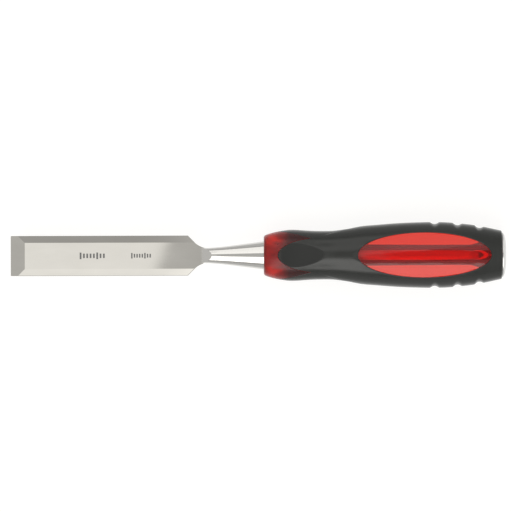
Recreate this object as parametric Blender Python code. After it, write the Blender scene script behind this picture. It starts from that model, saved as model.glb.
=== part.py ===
"""Bench chisel: forged blade and tang, clear moulded core, soft overmoulded grip, steel strike cap.

The tool lies along X with its cutting edge at -X, its bevelled side up and its flat back down.
Lengths below are millimetres. Along the tool they are counted from the handle's front face, the
blade side being negative; across it they are counted from the tool's axis.
"""

import math

import bmesh
import bpy
from mathutils import Matrix, Vector

MM = 0.001
SEGMENTS = 48  # flats round each turned piece
GAP = 0.3  # clearance between two pieces that touch

# Blade: a bevel-edged plate with a flat back.
BLADE_WIDTH = 23.0
BLADE_LENGTH = 145.0  # cutting edge to handle
BLADE_THICKNESS = 3.85
BLADE_TOP = 1.15  # height of the top face over the axis
BLADE_BACK = BLADE_TOP - BLADE_THICKNESS
GRIND_ANGLE = math.radians(25)  # primary bevel at the cutting edge
EDGE_BEVEL_WIDTH = 4.0
EDGE_LAND = 2.0  # height of the square side left under each edge bevel
SHOULDER_START = -43.4
SHOULDER_END = SHOULDER_START + EDGE_BEVEL_WIDTH  # the shoulders leave at 45 degrees
SHOULDER_FILLET = 10.9
PLATE_ROOT = (-26.2, 2.9)  # where the plate ends inside the neck, and half its width there

# Neck: a turned cone that runs out of the plate.
NECK_PROFILE = [(-31.6, 4.4), (-24.4, 5.0), (-14.1, 6.25), (-3.8, 7.6), (1.0, 8.3)]
NECK_ROOT = -37.0  # where the cone starts inside the plate
RAMP_SLOPE = math.radians(33)
TOP_RAMP_START = -35.0
BACK_RAMP_START = -33.6
SEAT_DEPTH = 1.0  # how far the neck stands in the core's front recess

# Tang: a bar standing on edge in a round bore: (place, width, height).
TANG_SECTIONS = [
    (0.6, 10.0, 10.0), (14.0, 6.2, 8.6), (100.0, 5.8, 8.0), (117.6, 5.4, 7.6), (122.2, 4.2, 5.8),
    (124.6, 2.2, 2.8), (125.2, 1.0, 1.2),
]
TANG_CORNER = 0.16  # corner chamfer, as a share of the width
TANG_BORE_PROFILE = [
    (-2.0, 7.4), (1.0, 7.4), (14.0, 5.4), (117.5, 5.1), (124.0, 6.5), (130.4, 6.6),
]

# Handle: the outer radius along its length, in two smooth stretches that meet at a small step.
WAIST_PROFILE = [
    (0.0, 10.4), (0.5, 11.3), (2.5, 12.2), (6.0, 13.2), (10.0, 14.0), (14.5, 14.58), (19.0, 14.55),
    (25.3, 14.12), (32.0, 13.88), (39.0, 14.2), (47.0, 15.15), (56.2, 16.45),
]
BELLY_PROFILE = [
    (56.2, 16.62), (66.0, 17.45), (77.0, 18.27), (88.0, 18.7), (96.0, 18.86), (104.0, 18.7),
    (112.0, 18.02), (120.0, 17.1), (128.0, 15.6), (135.4, 14.0),
]
HANDLE_STEP = BELLY_PROFILE[0][0]
HANDLE_STEP_LENGTH = 0.8
HANDLE_CORNER = BELLY_PROFILE[-1][0]  # where the rounding into the rear face starts
GRIP_END = 136.1
GRIP_END_RADIUS = 13.1
GRIP_WALL = 2.5
REST_LEVEL = 15.95  # the tool lies on two small flats; this one, ahead of the window, is lowest
REST_RISE = 0.0552  # rise per mm towards the other, at the tongue's tip
BLANK_RADIUS = 23.0  # cutting tools reach out this far, clear of the handle
OVERRUN = 2.0  # how far they run past the ends of what they cut

# Front tongues of the grip: one each on top, underside and both sides, with the core showing between.
TONGUE_COUNT = 4
TONGUE_TIP = 8.0
TONGUE_ROOT = 27.1
TONGUE_POWER = 2.22  # how full the tongues are: 1 is a plain triangle
TONGUE_ROWS = 5
GRIP_ROW_LENGTH = 4.2

# Shallow thumb rests in the top and underside tongues. Each is a dish with a rise per square mm.
THUMB_CENTRE = 21.1
THUMB_LEVEL = 12.6  # height of the rest's lowest point over the axis
THUMB_RISE = (0.0075, 0.002)  # along and across the tool
THUMB_TOOL_REACH = (17.5, 9.0)

# Windows that show the core, top and underside.
WINDOW_CENTRE = 91.7
WINDOW_HALF_LENGTH = 38.0
WINDOW_HALF_WIDTH = 12.8
WINDOW_SEGMENTS = 56
WINDOW_CROWN_PLACE = 82.0  # where the core's face in the window stands highest
WINDOW_CROWN_LEVEL = 15.5  # height of that place over the axis
WINDOW_RISE = (-0.00038, -0.0138)  # along and across the tool, per square mm
WINDOW_TOOL_REACH = (54.0, 14.5)
WINDOW_PRISM_FLOOR = 5.0  # inside the grip's wall, below the lowest point of the opening's edge

# Three finger grooves on each side.
GROOVE_PLACES = [97.7, 110.9, 123.5]
GROOVE_DEPTH = 1.1
GROOVE_TOOL_RADIUS = 3.4
GROOVE_SWING_CENTRE = 9.5  # how far past the axis the groove's arc has its centre
GROOVE_HALF_SWEEP = math.radians(30)

# Strike cap: a crowned disc on a barbed stem.
CAP_UNDERSIDE = GRIP_END + GAP
CAP_RIM_TOP = 136.9
CAP_TOP = 138.4
CAP_RADIUS = 12.6
CAP_FLAT_RADIUS = 5.0
CAP_CROWN_POWER = 2.8
STEM_START = 128.4
STEM_RADIUS = 2.7
STEM_TIP_RADIUS = 2.3
FIRST_BARB = STEM_START + 0.8
BARB_COUNT = 4
BARB_PITCH = 1.6
BARB_DEPTH = 0.4
BARB_NECK = 0.25  # length of the step back from one barb to the next

SIDES = ((1, "a"), (-1, "b"))

LOOKS = {  # base colour, metallic, roughness
    "blade_steel": ((0.62, 0.61, 0.58), 1.0, 0.32),
    "cap_steel": ((0.66, 0.65, 0.63), 1.0, 0.2),
    "clear_red": ((0.62, 0.02, 0.03), 0.0, 0.15),
    "soft_black": ((0.035, 0.037, 0.035), 0.0, 0.55),
}


def smooth_value(points, at):
    """Height at a place on the smooth curve through (place, height) points."""
    places = [p[0] for p in points]
    last = len(points) - 1
    at = min(max(at, places[0]), places[last])
    i = max(k for k in range(last) if places[k] <= at)

    def slope(k):
        before, after = max(k - 1, 0), min(k + 1, last)
        return (points[after][1] - points[before][1]) / (points[after][0] - points[before][0])

    span = points[i + 1][0] - points[i][0]
    t = (at - points[i][0]) / span
    from_start = (2 * t**3 - 3 * t**2 + 1) * points[i][1] + (t**3 - 2 * t**2 + t) * span * slope(i)
    from_end = (3 * t**2 - 2 * t**3) * points[i + 1][1] + (t**3 - t**2) * span * slope(i + 1)
    return from_start + from_end


def handle_radius(at):
    """Outer radius of the handle."""
    return smooth_value(WAIST_PROFILE if at < HANDLE_STEP else BELLY_PROFILE, at)


def rested(point):
    """The point, brought back to the plane that the tool lies on if it is past it, above or below."""
    x, y, z = point
    limit = REST_LEVEL - REST_RISE * max(0, WINDOW_FRONT - x)
    return x, y, max(-limit, min(limit, z))


TOTAL_LENGTH = BLADE_LENGTH + CAP_TOP
FACE_X = BLADE_LENGTH - TOTAL_LENGTH / 2  # the tool's middle is at X = 0
WINDOW_FRONT = WINDOW_CENTRE - WINDOW_HALF_LENGTH
AXIS_Z = REST_LEVEL


def clear_scene():
    for obj in list(bpy.data.objects):
        bpy.data.objects.remove(obj)


def make_material(name):
    colour, metallic, roughness = LOOKS[name]
    material = bpy.data.materials.new(name)
    material.use_nodes = True
    shader = material.node_tree.nodes["Principled BSDF"]
    shader.inputs["Base Color"].default_value = (*colour, 1)
    shader.inputs["Metallic"].default_value = metallic
    shader.inputs["Roughness"].default_value = roughness
    return material


def make_object(name, bm, axis, material=None):
    """Turns the mesh, drawn in millimetres, into an object on the tool's axis."""
    bmesh.ops.recalc_face_normals(bm, faces=bm.faces)
    bm.transform(Matrix.Scale(MM, 4))
    mesh = bpy.data.meshes.new(name)
    bm.to_mesh(mesh)
    bm.free()
    mesh.shade_smooth()
    mesh.set_sharp_from_angle(angle=math.radians(30))
    obj = bpy.data.objects.new(name, mesh)
    bpy.context.scene.collection.objects.link(obj)
    obj.parent = axis
    if material:
        mesh.materials.append(material)
    else:
        obj.hide_render = True
        obj.display_type = "WIRE"
    return obj


def combine(obj, other, operation):
    """Adds a Boolean modifier that cuts, joins or intersects with a hidden helper."""
    modifier = obj.modifiers.new(f"{operation.lower()}_{other.name}", "BOOLEAN")
    modifier.operation = operation
    modifier.object = other


def turned(outline):
    """A solid of revolution about the axis from (place, radius) points, with flat ends.

    Its flats are set off by half a step from those of the grip, so that no edges coincide.
    """
    bm = bmesh.new()
    verts = [bm.verts.new((x, 0, radius)) for x, radius in outline]
    edges = [bm.edges.new(pair) for pair in zip(verts, verts[1:])]
    bmesh.ops.rotate(bm, verts=verts, matrix=Matrix.Rotation(math.pi / SEGMENTS, 3, "X"))
    bmesh.ops.spin(
        bm, geom=verts + edges, cent=(0, 0, 0), axis=(1, 0, 0), angle=2 * math.pi, steps=SEGMENTS,
        use_merge=True,
    )
    bmesh.ops.remove_doubles(bm, verts=bm.verts, dist=1e-4)
    bmesh.ops.holes_fill(bm, edges=[edge for edge in bm.edges if edge.is_boundary])
    return bm


def lofted(rings, round_trip=False):
    """A closed solid through rings of equally many points, capped or led back to its first ring."""
    bm = bmesh.new()
    loops = [[bm.verts.new(point) for point in ring] for ring in rings]
    if not round_trip:
        bm.faces.new(loops[0])
        bm.faces.new(loops[-1])
    pairs = list(zip(loops, loops[1:]))
    if round_trip:
        pairs.append((loops[-1], loops[0]))
    count = len(rings[0])
    for low, high in pairs:
        for k in range(count):
            after = (k + 1) % count
            bm.faces.new((low[k], low[after], high[after], high[k]))
    return bm


def elliptic_prism(centre, half_length, half_width, low, high):
    """An upright prism with an elliptic outline."""
    bm = bmesh.new()
    bmesh.ops.create_cone(
        bm, cap_ends=True, segments=WINDOW_SEGMENTS, radius1=1, radius2=1, depth=1,
        matrix=Matrix.Translation((0, 0, 0.5)),
    )
    bmesh.ops.scale(bm, verts=bm.verts, vec=(half_length, half_width, high - low))
    bmesh.ops.translate(bm, verts=bm.verts, vec=(centre, 0, low))
    return bm


def slice_off(bm, point, normal):
    """Removes what lies on the normal's side of a plane and closes the cut."""
    cut = bmesh.ops.bisect_plane(
        bm, geom=bm.verts[:] + bm.edges[:] + bm.faces[:], dist=1e-5,
        plane_co=point, plane_no=normal, clear_outer=True,
    )
    rim = [item for item in cut["geom_cut"] if isinstance(item, bmesh.types.BMEdge)]
    bmesh.ops.contextual_create(bm, geom=rim)


def blade_plate():
    """The flat part of the blade: its outline raised, then ground on three planes."""
    half = BLADE_WIDTH / 2
    inner_half = half - EDGE_BEVEL_WIDTH
    fillet_steps = 8
    outline = [(-BLADE_LENGTH, half), (SHOULDER_START, half)]
    fillet_centre = (
        SHOULDER_END + SHOULDER_FILLET * math.sin(math.pi / 4),
        inner_half + SHOULDER_FILLET * math.cos(math.pi / 4),
    )
    for k in range(fillet_steps + 1):
        angle = math.pi / 4 * (1 - k / fillet_steps)
        outline.append((
            fillet_centre[0] - SHOULDER_FILLET * math.sin(angle),
            fillet_centre[1] - SHOULDER_FILLET * math.cos(angle),
        ))
    outline.append(PLATE_ROOT)
    mirrored = [(x, -y) for x, y in reversed(outline)]
    bm = bmesh.new()
    verts = [bm.verts.new((x, y, BLADE_BACK)) for x, y in outline + mirrored]
    face = bm.faces.new(verts)
    raised = bmesh.ops.extrude_face_region(bm, geom=[face])
    top = [item for item in raised["geom"] if isinstance(item, bmesh.types.BMVert)]
    bmesh.ops.translate(bm, verts=top, vec=(0, 0, BLADE_THICKNESS))
    slice_off(bm, (-BLADE_LENGTH, 0, BLADE_BACK), (-math.sin(GRIND_ANGLE), 0, math.cos(GRIND_ANGLE)))
    fall = BLADE_THICKNESS - EDGE_LAND
    for side in (-1, 1):
        slice_off(bm, (0, side * inner_half, BLADE_TOP), (0, side * fall, EDGE_BEVEL_WIDTH))
    return bm


def neck_cone():
    """The turned neck, sliced where it ramps down to the plate's two faces."""
    first, last = NECK_PROFILE[0][0], NECK_PROFILE[-1][0]
    rings = 10
    outline = [(NECK_ROOT, NECK_PROFILE[0][1])]
    for k in range(rings + 1):
        place = first + (last - first) * k / rings
        outline.append((place, smooth_value(NECK_PROFILE, place)))
    bm = turned(outline)
    for start, level, up in ((TOP_RAMP_START, BLADE_TOP, 1), (BACK_RAMP_START, BLADE_BACK, -1)):
        slice_off(bm, (start, 0, level), (-math.sin(RAMP_SLOPE), 0, up * math.cos(RAMP_SLOPE)))
    return bm


def tang_bar():
    """The tang's bar with chamfered corners."""
    rings = []
    for place, width, height in TANG_SECTIONS:
        y, z = width / 2, height / 2
        chamfer = width * TANG_CORNER
        ring = [
            (y, z - chamfer), (y - chamfer, z), (chamfer - y, z), (-y, z - chamfer),
            (-y, chamfer - z), (chamfer - y, -z), (y - chamfer, -z), (y, chamfer - z),
        ]
        rings.append([(place, *point) for point in ring])
    return lofted(rings)


def handle_places(start, end):
    """Evenly spaced places along the handle, with one at its windows' front and two on its step."""
    marks = [start, WINDOW_FRONT, HANDLE_STEP - HANDLE_STEP_LENGTH, HANDLE_STEP, end]
    places = []
    for first, last in zip(marks, marks[1:]):
        count = max(1, round((last - first) / GRIP_ROW_LENGTH))
        places += [first + (last - first) * k / count for k in range(count)]
    return places + [end]


def full_handle():
    """The handle's whole outside as one solid."""
    side = [(x, handle_radius(x)) for x in handle_places(WAIST_PROFILE[1][0], HANDLE_CORNER)]
    bm = turned([WAIST_PROFILE[0]] + side + [(GRIP_END, GRIP_END_RADIUS)])
    for vert in bm.verts:
        vert.co = rested(vert.co)
    return bm


def tongue_edge(angle, growth):
    """Where the grip's wall starts at an angle round the axis, measured from the top."""
    half_share = math.pi / TONGUE_COUNT
    from_middle = abs((angle + half_share) % (2 * half_share) - half_share)
    from_middle = max(0, from_middle - growth / handle_radius(TONGUE_TIP))
    rise = (TONGUE_ROOT - TONGUE_TIP) * (from_middle / half_share) ** TONGUE_POWER
    return TONGUE_TIP + rise - growth


def grip_wall(growth=None):
    """The grip's wall as a sleeve with tongues at its front.

    With a growth it becomes the tool that clears the core for the wall: it reaches past the
    handle's outside and rear, and goes deeper into the core by the growth.
    """
    cutting = growth is not None
    growth = growth or 0
    root = TONGUE_ROOT + OVERRUN
    rings = []
    for k in range(SEGMENTS):
        angle = 2 * math.pi * k / SEGMENTS
        tip = tongue_edge(angle, growth)
        places = [tip + (root - tip) * row / TONGUE_ROWS for row in range(TONGUE_ROWS)]
        places += handle_places(root, HANDLE_CORNER)
        inside = [(x, handle_radius(x) - GRIP_WALL - growth) for x in places]
        if cutting:
            outside = [(places[0], BLANK_RADIUS), (GRIP_END + OVERRUN, BLANK_RADIUS)]
            inside.append((GRIP_END + OVERRUN, inside[-1][1]))
        else:
            outside = [(x, handle_radius(x)) for x in places] + [(GRIP_END, GRIP_END_RADIUS)]
            inside.append((GRIP_END, inside[-1][1]))
        section = outside + inside[::-1]
        ring = [(x, r * math.sin(angle), r * math.cos(angle)) for x, r in section]
        rings.append(ring if cutting else [rested(point) for point in ring])
    return lofted(rings, round_trip=True)


def dished_tool(place, level, rise, reach, side):
    """A cutter above (or, with side -1, below) the tool whose inner face is gently curved."""
    rows, columns = 14, 10
    bm = bmesh.new()
    floor = []
    for i in range(rows + 1):
        x = reach[0] * (2 * i / rows - 1)
        line = []
        for j in range(columns + 1):
            y = reach[1] * (2 * j / columns - 1)
            z = level + rise[0] * x**2 + rise[1] * y**2
            line.append(bm.verts.new((place + x, y, side * z)))
        floor.append(line)
    for low, high in zip(floor, floor[1:]):
        for j in range(columns):
            bm.faces.new((low[j], low[j + 1], high[j + 1], high[j]))
    raised = bmesh.ops.extrude_face_region(bm, geom=bm.faces[:], use_keep_orig=True)
    for item in raised["geom"]:
        if isinstance(item, bmesh.types.BMVert):
            item.co.z = side * BLANK_RADIUS
    return bm


def groove_tool(place, side):
    """A bent bar that ploughs one finger groove, deepest at the handle's side."""
    swing = handle_radius(place) + GROOVE_TOOL_RADIUS - GROOVE_DEPTH + GROOVE_SWING_CENTRE
    steps, sides = 8, 16
    rings = []
    for k in range(steps + 1):
        turn = GROOVE_HALF_SWEEP * (2 * k / steps - 1)
        ring = []
        for j in range(sides):
            around = 2 * math.pi * j / sides
            reach = swing + GROOVE_TOOL_RADIUS * math.cos(around)
            x = place + GROOVE_TOOL_RADIUS * math.sin(around)
            y = reach * math.cos(turn) - GROOVE_SWING_CENTRE
            ring.append((x, side * y, reach * math.sin(turn)))
        rings.append(ring)
    return lofted(rings)


def stem_outline(growth=0.0):
    """(place, radius) points of the strike cap's stem with its barbs."""
    outline = [(STEM_START - growth, STEM_TIP_RADIUS + growth)]
    for k in range(BARB_COUNT):
        place = FIRST_BARB + k * BARB_PITCH
        outline.append((place, STEM_RADIUS - BARB_DEPTH + growth))
        outline.append((place + BARB_PITCH - BARB_NECK, STEM_RADIUS + growth))
    return outline


def build_blade(axis, steel):
    blade = make_object("blade", blade_plate(), axis, steel)
    combine(blade, make_object("neck_form", neck_cone(), axis), "UNION")
    combine(blade, make_object("tang_form", tang_bar(), axis), "UNION")


def window_prism(side, inset=0.0):
    """The space over a window, as wide as its opening less an inset."""
    low, high = sorted((side * WINDOW_PRISM_FLOOR, side * (BLANK_RADIUS + OVERRUN)))
    return elliptic_prism(
        WINDOW_CENTRE, WINDOW_HALF_LENGTH - inset, WINDOW_HALF_WIDTH - inset, low, high
    )


def build_core(axis, red):
    """The clear core: the whole handle less the grip's wall, the window recesses and the bores."""
    core = make_object("handle_core", full_handle(), axis, red)
    clearance = make_object("grip_clearance", grip_wall(GAP), axis)
    for side, label in SIDES:
        land = make_object(f"window_land_{label}", window_prism(side, GAP), axis)
        combine(clearance, land, "DIFFERENCE")
    combine(core, clearance, "DIFFERENCE")
    for side, label in SIDES:
        face = dished_tool(
            WINDOW_CROWN_PLACE, WINDOW_CROWN_LEVEL, WINDOW_RISE, WINDOW_TOOL_REACH, side
        )
        combine(core, make_object(f"window_face_{label}", face, axis), "DIFFERENCE")
    combine(core, make_object("tang_bore", turned(TANG_BORE_PROFILE), axis), "DIFFERENCE")
    seat_radius = NECK_PROFILE[-1][1] + GAP
    seat_depth = SEAT_DEPTH + GAP
    seat = turned([(-OVERRUN, seat_radius), (seat_depth, seat_radius)])
    combine(core, make_object("neck_seat", seat, axis), "DIFFERENCE")
    bore_radius = STEM_RADIUS + GAP
    bore = turned(stem_outline(GAP) + [(GRIP_END + OVERRUN, bore_radius)])
    combine(core, make_object("stem_bore", bore, axis), "DIFFERENCE")


def build_grip(axis, black):
    """The soft grip: its wall less the windows, the thumb rests and the finger grooves."""
    grip = make_object("soft_grip", grip_wall(), axis, black)
    for side, label in SIDES:
        window = make_object(f"window_opening_{label}", window_prism(side), axis)
        combine(grip, window, "DIFFERENCE")
        rest = dished_tool(THUMB_CENTRE, THUMB_LEVEL, THUMB_RISE, THUMB_TOOL_REACH, side)
        combine(grip, make_object(f"thumb_rest_{label}", rest, axis), "DIFFERENCE")
        for number, place in enumerate(GROOVE_PLACES, start=1):
            tool = make_object(f"groove_{number}_{label}", groove_tool(place, side), axis)
            combine(grip, tool, "DIFFERENCE")


def build_cap(axis, steel):
    """The strike cap, turned in one piece with its stem."""
    crown_steps = 7
    outline = stem_outline() + [(CAP_UNDERSIDE, STEM_RADIUS), (CAP_UNDERSIDE, CAP_RADIUS)]
    for k in range(crown_steps + 1):
        share = 1 - k / crown_steps
        radius = CAP_FLAT_RADIUS + (CAP_RADIUS - CAP_FLAT_RADIUS) * share
        outline.append((CAP_TOP - (CAP_TOP - CAP_RIM_TOP) * share**CAP_CROWN_POWER, radius))
    make_object("strike_cap", turned(outline), axis, steel)


def main():
    clear_scene()
    axis = bpy.data.objects.new("tool_axis", None)
    axis.location = (FACE_X * MM, 0, AXIS_Z * MM)
    bpy.context.scene.collection.objects.link(axis)
    build_blade(axis, make_material("blade_steel"))
    build_core(axis, make_material("clear_red"))
    build_grip(axis, make_material("soft_black"))
    build_cap(axis, make_material("cap_steel"))


main()
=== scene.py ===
import math

import bmesh
import bpy
from mathutils import Matrix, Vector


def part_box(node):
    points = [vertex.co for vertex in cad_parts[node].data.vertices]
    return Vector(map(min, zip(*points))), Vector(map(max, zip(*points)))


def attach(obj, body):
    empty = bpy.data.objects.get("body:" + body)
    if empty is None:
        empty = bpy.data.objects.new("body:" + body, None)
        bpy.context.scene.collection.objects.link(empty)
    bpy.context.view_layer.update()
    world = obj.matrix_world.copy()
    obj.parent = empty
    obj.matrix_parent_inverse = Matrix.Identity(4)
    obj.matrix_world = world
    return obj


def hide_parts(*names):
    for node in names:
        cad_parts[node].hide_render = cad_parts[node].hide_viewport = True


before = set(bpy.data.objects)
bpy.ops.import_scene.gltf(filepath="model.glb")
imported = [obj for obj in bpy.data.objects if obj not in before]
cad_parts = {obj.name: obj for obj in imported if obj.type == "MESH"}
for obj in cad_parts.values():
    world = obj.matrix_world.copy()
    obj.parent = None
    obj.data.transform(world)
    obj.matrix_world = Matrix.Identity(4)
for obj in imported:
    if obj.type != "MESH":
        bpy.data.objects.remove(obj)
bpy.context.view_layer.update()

# Lengths are millimetres. Along the tool they are counted from the handle's front face, across it
# and up from the tool's axis.
MM = 0.001
handle_low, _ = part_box("handle_core")
cap_low, cap_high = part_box("strike_cap")
blade_low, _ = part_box("blade")
FACE_X = handle_low.x
AXIS_Z = (cap_low.z + cap_high.z) / 2
BLADE_LENGTH = (FACE_X - blade_low.x) / MM
CAP_TOP = (cap_high.x - FACE_X) / MM
TURN = 2 * math.pi

# Blade. Profiles are (place, radius) points, and the tang's sections are (place, width, height).
HALF_WIDTH = 11.5
BLADE_TOP, BLADE_BACK = 1.15, -2.7
GRIND_ANGLE = math.radians(25)
HONED_ANGLE = math.radians(31)
HONED_WIDTH = 0.7
EDGE_BEVEL = 4.0  # width of the bevel along each side
EDGE_LAND = 2.0
SHOULDER = -43.4
SHOULDER_FILLET, FILLET_STEPS = 10.9, 24
PLATE_ROOT = (-26.2, 2.9)
TOP_CORNER, BROKEN_CORNER = 0.5, 0.14  # rounding of the outer edges on top, and of the others
NECK_PROFILE = [(-31.6, 4.4), (-24.4, 5.0), (-14.1, 6.25), (-3.8, 7.6), (1.0, 8.3)]
NECK_ROOT = -37.0
NECK_ROWS, NECK_COLUMNS = 40, 128
RAMP_SLOPE = math.radians(33)
TOP_RAMP, BACK_RAMP = -35.0, -33.6
TANG_SECTIONS = [
    (0.6, 12.0, 12.0), (14.0, 6.3, 8.0), (100.0, 6.0, 7.8), (117.6, 5.6, 7.6), (122.2, 4.4, 5.8),
    (124.6, 2.4, 3.0), (125.2, 1.2, 1.4),
]
TANG_ROWS, TANG_CORNER, CORNER_STEPS = 6, 0.08, 3  # the corner is a share of the width
TICK_ROWS = ((-105.7, -90.5, 1.9, 1.9), (-76.2, -64.2, 1.5, 1.6))  # start, end, pitch, half length
TICK_HALF, SHORT_TICK, LONG_EVERY = 0.27, 0.68, 5.0  # half thickness as a share of the pitch
FACE_DEPTH = 0.05  # the print goes no deeper than this

# Handle.
HANDLE_PROFILE = [
    (0.0, 10.4), (0.5, 11.3), (2.5, 12.2), (6.0, 13.2), (10.0, 14.0), (14.5, 14.58), (19.0, 14.55),
    (25.3, 14.12), (32.0, 13.88), (39.0, 14.2), (47.0, 15.22), (56.2, 16.62), (66.0, 17.45),
    (77.0, 18.27), (88.0, 18.7), (96.0, 18.84), (104.0, 18.7), (112.0, 18.02), (120.0, 17.1),
    (128.0, 15.6), (135.4, 14.0),
]
# A shallow rest on each side: its outline as (place, degrees from the side).
SIDE_REST = [(30.0, 44.0), (37.3, 29.4), (43.6, 17.4), (49.3, 10.5), (53.5, 5.5), (56.7, 0.0)]
SIDE_REST_DEPTH, SIDE_REST_SLOPE = 0.32, (-0.1, 0.55)
SIDE_REST_FADE = (31.0, 42.0)  # it deepens from nothing between these places
CREASE_FALL, CREASE_RISE, CREASE_SHARE = (-0.1, 0.3), (-1.3, -0.3), 0.5  # its two sides and depth
HANDLE_CORNER = 135.4
GRIP_END, GRIP_END_RADIUS = 136.1, 13.1
GRIP_WALL = 2.5
REST_LEVEL, REST_RISE = 15.95, 0.0552  # the plane of the small flats that the tool lies on
TONGUES, TONGUE_TIP, TONGUE_ROOT, TONGUE_POWER = 4, 8.0, 27.1, 2.22
THUMB_CENTRE, THUMB_LEVEL, THUMB_RISE = 21.1, 12.6, (0.0075, 0.002)
THUMB_BLEND = 0.012  # how softly the rim of a thumb rest turns over
WINDOW_CENTRE, WINDOW_LENGTH, WINDOW_WIDTH = 91.7, 38.0, 12.8  # half length, half width
CROWN_PLACE, CROWN_LEVEL, CROWN_RISE = 82.0, 15.5, (-0.00038, -0.0138)
GROOVES = [97.7, 110.9, 123.5]
GROOVE_DEPTH, GROOVE_RADIUS, GROOVE_SWING = 1.1, 3.4, 9.5
GROOVE_BLEND, GROOVE_LIFT, GROOVE_POWER = 0.05, 0.03, 8  # how its edges and ends are softened

# The core's front face, and its bore from the neck's seat to the cavity round the cap's stem, as
# (place, radius) points.
SEAT_DEPTH, SEAT_RADIUS, SEAT_CORNER = 1.1, 8.42, 0.15
FRONT_ROUND = [(0.0, 10.0), (0.03, 10.35), (0.14, 10.75), (0.3, 11.05), (0.5, 11.3)]
BORE_MOUTH = [(SEAT_DEPTH, 7.4), (1.6, 7.3), (4.0, 6.95), (8.0, 6.3), (14.0, 5.4)]
BORE_LENGTH, BORE_TAPER, BORE_STEPS = 103.5, 0.3, 40
BORE_END = [(119.0, 5.25), (121.5, 5.9), (124.0, 6.5), (126.0, 6.6)]
CAVITY_END = 130.4  # the core is hollow up to here, where it closes on the cap's stem
CAVITY_CORNER = [(-0.4, 6.6), (-0.12, 6.48), (0.0, 6.2)]  # places counted from the cavity's end
CAVITY_RING, REAR_RING = 4.6, 8.0  # rings halfway over the cavity's end and the rear face

# How finely the handle is drawn, and how closely its two mouldings meet.
COLUMNS = 160
WINDOW_STEPS = 150
WAIST_START = 36.0
TONGUE_ROWS, WAIST_STEP, TAIL_STEP = 60, 0.5, 0.75
COLLAR_ROWS, HIDDEN_ROWS, HIDDEN_WAIST_STEP, HIDDEN_TAIL_STEP = 44, 16, 2.5, 1.6
GRIP_END_TURNS = (0, 0.4, 0.8, 1.2, math.pi / 2)
WALL_DEPTHS = (0, 0.6, 1.3, 2.0)
LAND_ROUND, LAND_COLUMNS, LAND_SHARES = 0.08, 40, (0, 0.35, 0.7, 0.9, 1)
GRIP_ROUND = 0.45  # rounding of the grip's edge at a window
TIP_ROUND = 0.3  # rounding of the grip's front edge
JOIN = 0.06  # the core stops this far short of the grip

WELD, THINNEST, BAR_WELD = 0.004, 0.002, 0.001  # points and faces closer than these are merged

# Strike cap.
CAP_UNDERSIDE, CAP_RIM, CAP_RADIUS, CAP_FLAT = 136.2, 136.9, 12.6, 5.0
CAP_POWER, CAP_CHAMFER, CAP_STEP = 2.8, 0.12, 0.05
CAP_ROWS, CAP_COLUMNS = 36, 144
STEM_START, STEM_RADIUS, STEM_TIP, STEM_LEAD, STEM_GAP = 128.4, 2.7, 2.3, 0.8, 0.12
BARBS, BARB_PITCH, BARB_DEPTH, BARB_NECK = 4, 1.6, 0.4, 0.25


def smooth_value(points, at):
    """Height at a place on the smooth curve through (place, height) points."""
    last = len(points) - 1
    at = min(max(at, points[0][0]), points[last][0])
    i = max(k for k in range(last) if points[k][0] <= at)

    def slope(k):
        before, after = points[max(k - 1, 0)], points[min(k + 1, last)]
        return (after[1] - before[1]) / (after[0] - before[0])

    span = points[i + 1][0] - points[i][0]
    t = (at - points[i][0]) / span
    from_start = (2 * t**3 - 3 * t**2 + 1) * points[i][1] + (t**3 - 2 * t**2 + t) * span * slope(i)
    from_end = (3 * t**2 - 2 * t**3) * points[i + 1][1] + (t**3 - t**2) * span * slope(i + 1)
    return from_start + from_end


def handle_radius(at):
    """Outer radius of the handle."""
    radius = smooth_value(HANDLE_PROFILE, at)
    if at > HANDLE_CORNER:
        share = (at - HANDLE_CORNER) / (GRIP_END - HANDLE_CORNER)
        radius -= (radius - GRIP_END_RADIUS) * (1 - math.sqrt(max(0, 1 - share**2)))
    return radius


def rest_level(at):
    """Height over the axis of the flats that the tool lies on, the same above and below."""
    return REST_LEVEL - REST_RISE * max(0, WINDOW_CENTRE - WINDOW_LENGTH - at)


def eased(value, low, high):
    """0 below low, 1 above high, with a smooth rise between."""
    share = max(0, min(1, (value - low) / (high - low)))
    return share * share * (3 - 2 * share)


class Shell:
    """A mesh drawn as strips of rows of points, welded where they meet."""

    def __init__(self):
        self.points, self.faces, self.finishes = [], [], []

    def strip(self, rows, closed=False, finish=0):
        width = len(rows[0])
        start = len(self.points)
        for row in rows:
            self.points += row
        for i in range(len(rows) - 1):
            for j in range(width if closed else width - 1):
                after = (j + 1) % width
                low, high = start + i * width, start + (i + 1) * width
                self.faces.append((low + j, low + after, high + after, high + j))
                self.finishes.append(finish)

    def piece(self, name, finishes, sharp=30):
        mesh = bpy.data.meshes.new(name)
        mesh.from_pydata(self.points, [], self.faces)
        mesh.polygons.foreach_set("material_index", self.finishes)
        bm = bmesh.new()
        bm.from_mesh(mesh)
        bmesh.ops.remove_doubles(bm, verts=bm.verts, dist=WELD)
        bmesh.ops.dissolve_degenerate(bm, dist=THINNEST, edges=bm.edges)
        bmesh.ops.recalc_face_normals(bm, faces=bm.faces)
        bm.to_mesh(mesh)
        bm.free()
        return settle(mesh, finishes, sharp)

    def bar(self):
        """The strips welded into a solid, still to be sliced or joined."""
        bm = bmesh.new()
        mesh = bpy.data.meshes.new("bar")
        mesh.from_pydata(self.points, [], self.faces)
        bm.from_mesh(mesh)
        bpy.data.meshes.remove(mesh)
        bmesh.ops.remove_doubles(bm, verts=bm.verts, dist=BAR_WELD)
        return bm


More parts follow.
